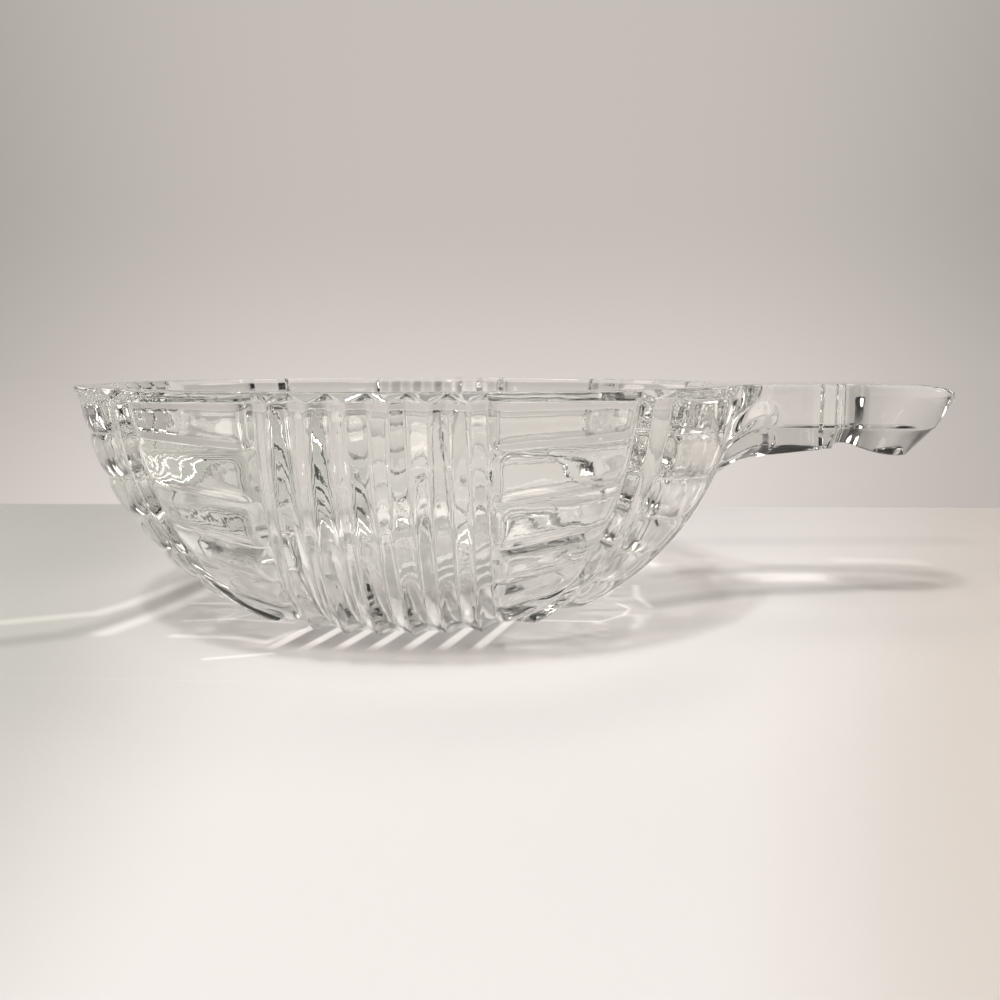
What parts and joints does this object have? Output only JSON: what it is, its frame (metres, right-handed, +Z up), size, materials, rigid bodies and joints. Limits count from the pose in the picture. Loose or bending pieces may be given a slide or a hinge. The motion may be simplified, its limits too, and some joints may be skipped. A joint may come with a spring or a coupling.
{
  "type": "serving dish",
  "caption": "Round pressed glass serving dish with a prism and bar pattern and one solid tab handle level with its rim.",
  "frame": {"origin": "centre of the flat base, on the bowl's axis", "axes": "+X out along the handle, +Z up out of the bowl"},
  "size_m": [0.2098, 0.1576, 0.053],
  "materials": {
    "glass": "clear pressed glass, fire-polished"
  },
  "bodies": {
    "root": {"bowl": "glass", "handle": "glass"}
  },
  "joints": []
}
